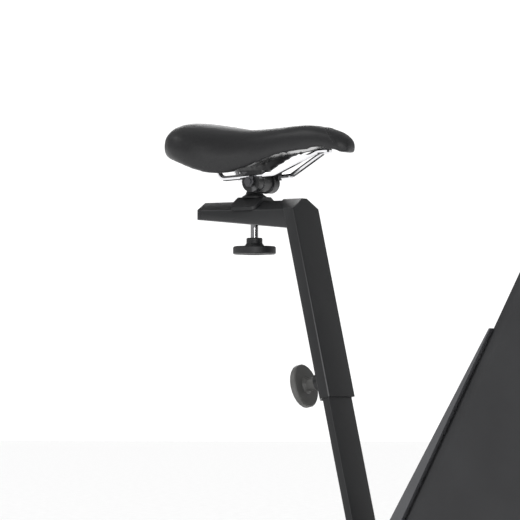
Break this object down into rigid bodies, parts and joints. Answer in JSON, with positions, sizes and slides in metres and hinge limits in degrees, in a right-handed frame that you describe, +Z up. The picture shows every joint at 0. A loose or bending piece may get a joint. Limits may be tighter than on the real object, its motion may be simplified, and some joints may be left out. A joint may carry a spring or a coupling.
{
  "type": "exercise bike",
  "caption": "Upright exercise bike with a saddle on a sliding post, belt-driven flywheel under covers, adjustable handlebar and a small display.",
  "frame": {"origin": "on the floor, under the middle of the base", "axes": "+X towards the front (handlebar), +Y to the rider's left, +Z up"},
  "size_m": [1.1, 0.524, 1.1984],
  "materials": {
    "black_steel": "fine-textured black powder coat",
    "dark_iron": "dark zinc and cast iron",
    "chrome": "bright chrome plate",
    "black_plastic": "fine-grained black plastic",
    "gloss_plastic": "glossy black shell under the saddle",
    "shroud_plastic": "matt charcoal cover plastic",
    "trim_plastic": "slightly lighter grey trim plastic",
    "vinyl": "fine-grained black vinyl over foam",
    "rubber": "black rubber",
    "foam": "closed-cell foam grip"
  },
  "bodies": {
    "frame": {"base_beam": "black_steel", "base_strut": "black_steel", "rear_stabiliser": "black_steel", "front_stabiliser": "black_steel", "rear_end_cap_right": "rubber", "rear_end_cap_left": "rubber", "front_end_cap_right": "rubber", "front_end_cap_left": "rubber", "bottom_bracket": "black_steel", "crank_bearing_right": "chrome", "crank_bearing_left": "chrome", "inner_post": "black_steel", "front_mast": "black_steel", "flywheel_plate_right": "black_steel", "flywheel_plate_left": "black_steel", "flywheel_bearing_right": "chrome", "flywheel_bearing_left": "chrome", "magnet_pivot": "chrome", "resistance_housing": "black_plastic", "shroud_right": "shroud_plastic", "shroud_left": "shroud_plastic", "rear_trim": "trim_plastic", "drive_belt": "rubber"},
    "seat_sleeve": {"seat_sleeve": "black_steel", "sleeve_liner": "black_plastic", "beam_end_cap": "black_plastic"},
    "height_knob": {"height_knob": "black_plastic", "height_knob_screw": "chrome"},
    "seat_carriage": {"seat_carriage": "black_steel", "clamp_bolt": "chrome"},
    "fore_aft_knob": {"fore_aft_knob": "black_plastic", "fore_aft_screw": "chrome"},
    "saddle": {"saddle_cover": "vinyl", "saddle_base": "gloss_plastic", "saddle_rails": "chrome", "clamp_jaw_right": "black_steel", "clamp_jaw_left": "black_steel"},
    "crank": {"crank_axle": "chrome", "crank_pulley": "dark_iron", "crank_right": "chrome", "crank_left": "chrome"},
    "pedal_right": {"pedal_right": "black_plastic"},
    "pedal_left": {"pedal_left": "black_plastic"},
    "flywheel": {"flywheel": "dark_iron", "flywheel_axle": "chrome", "flywheel_pulley": "dark_iron"},
    "magnet_bracket": {"magnet_bracket": "dark_iron"},
    "resistance_knob": {"resistance_knob": "black_plastic"},
    "handlebar": {"handlebar_post": "black_steel", "handlebar": "black_steel", "grip_right": "foam", "grip_left": "foam"},
    "handlebar_knob": {"handlebar_knob": "black_plastic"},
    "console": {"console": "black_plastic"},
    "transport_wheel_right": {"transport_wheel_right": "rubber"},
    "transport_wheel_left": {"transport_wheel_left": "rubber"},
    "foot_rear_right": {"foot_rear_right": "rubber"},
    "foot_rear_left": {"foot_rear_left": "rubber"},
    "foot_front_right": {"foot_front_right": "rubber"},
    "foot_front_left": {"foot_front_left": "rubber"}
  },
  "joints": [
    {"name": "seat_height", "type": "slide", "parent": "frame", "child": "seat_sleeve", "axis": [-0.2181, 0, 0.9759], "range_m": [-0.11, 0.05]},
    {"name": "height_knob_turn", "type": "hinge", "parent": "seat_sleeve", "child": "height_knob", "pos_m": [-0.12556, 0, 0.66489], "axis": [-0.9759, 0, -0.2181], "continuous": true},
    {"name": "seat_fore_aft", "type": "slide", "parent": "seat_sleeve", "child": "seat_carriage", "axis": [1, 0, 0], "range_m": [-0.03, 0.026]},
    {"name": "fore_aft_knob_turn", "type": "hinge", "parent": "seat_carriage", "child": "fore_aft_knob", "pos_m": [-0.25333, 0, 0.8945], "axis": [0, 0, 1], "continuous": true},
    {"name": "saddle_tilt", "type": "hinge", "parent": "seat_carriage", "child": "saddle", "pos_m": [-0.24333, 0, 0.919], "axis": [0, 1, 0], "range_deg": [-12, 12]},
    {"name": "crank_spin", "type": "hinge", "parent": "frame", "child": "crank", "pos_m": [-0.05, 0, 0.33], "axis": [0, 1, 0], "continuous": true},
    {"name": "pedal_right_spin", "type": "hinge", "parent": "crank", "child": "pedal_right", "pos_m": [0.08926, -0.084, 0.23249], "axis": [0, 1, 0], "continuous": true},
    {"name": "pedal_left_spin", "type": "hinge", "parent": "crank", "child": "pedal_left", "pos_m": [-0.18926, 0.084, 0.42751], "axis": [0, 1, 0], "continuous": true},
    {"name": "flywheel_spin", "type": "hinge", "parent": "frame", "child": "flywheel", "pos_m": [0.235, 0, 0.33], "axis": [0, 1, 0], "continuous": true},
    {"name": "magnet_swing", "type": "hinge", "parent": "frame", "child": "magnet_bracket", "pos_m": [0.40978, 0, 0.39362], "axis": [0, 1, 0], "range_deg": [-1.2, 1.2]},
    {"name": "resistance_turn", "type": "hinge", "parent": "frame", "child": "resistance_knob", "pos_m": [0.25429, 0, 0.91275], "axis": [-0.8829, 0, 0.4695], "range_deg": [-150, 150]},
    {"name": "handlebar_height", "type": "slide", "parent": "frame", "child": "handlebar", "axis": [0.4695, 0, 0.8829], "range_m": [-0.05, 0.08]},
    {"name": "handlebar_knob_turn", "type": "hinge", "parent": "frame", "child": "handlebar_knob", "pos_m": [0.25993, 0, 0.92334], "axis": [0.8829, 0, -0.4695], "continuous": true},
    {"name": "console_tilt", "type": "hinge", "parent": "handlebar", "child": "console", "pos_m": [0.35382, 0, 1.09993], "axis": [0, 1, 0], "range_deg": [-20, 20]},
    {"name": "transport_wheel_right_spin", "type": "hinge", "parent": "frame", "child": "transport_wheel_right", "pos_m": [0.524, -0.211, 0.062], "axis": [0, 1, 0], "continuous": true},
    {"name": "transport_wheel_left_spin", "type": "hinge", "parent": "frame", "child": "transport_wheel_left", "pos_m": [0.524, 0.211, 0.062], "axis": [0, 1, 0], "continuous": true},
    {"name": "foot_rear_right_turn", "type": "hinge", "parent": "frame", "child": "foot_rear_right", "pos_m": [-0.523, -0.205, 0], "axis": [0, 0, 1], "continuous": true},
    {"name": "foot_rear_left_turn", "type": "hinge", "parent": "frame", "child": "foot_rear_left", "pos_m": [-0.523, 0.205, 0], "axis": [0, 0, 1], "continuous": true},
    {"name": "foot_front_right_turn", "type": "hinge", "parent": "frame", "child": "foot_front_right", "pos_m": [0.468, -0.205, 0], "axis": [0, 0, 1], "continuous": true},
    {"name": "foot_front_left_turn", "type": "hinge", "parent": "frame", "child": "foot_front_left", "pos_m": [0.468, 0.205, 0], "axis": [0, 0, 1], "continuous": true}
  ],
  "couplings": [
    {"joint": "crank_spin", "follows": "flywheel_spin", "ratio": 0.3},
    {"joint": "magnet_swing", "follows": "resistance_turn", "ratio": 0.008}
  ]
}
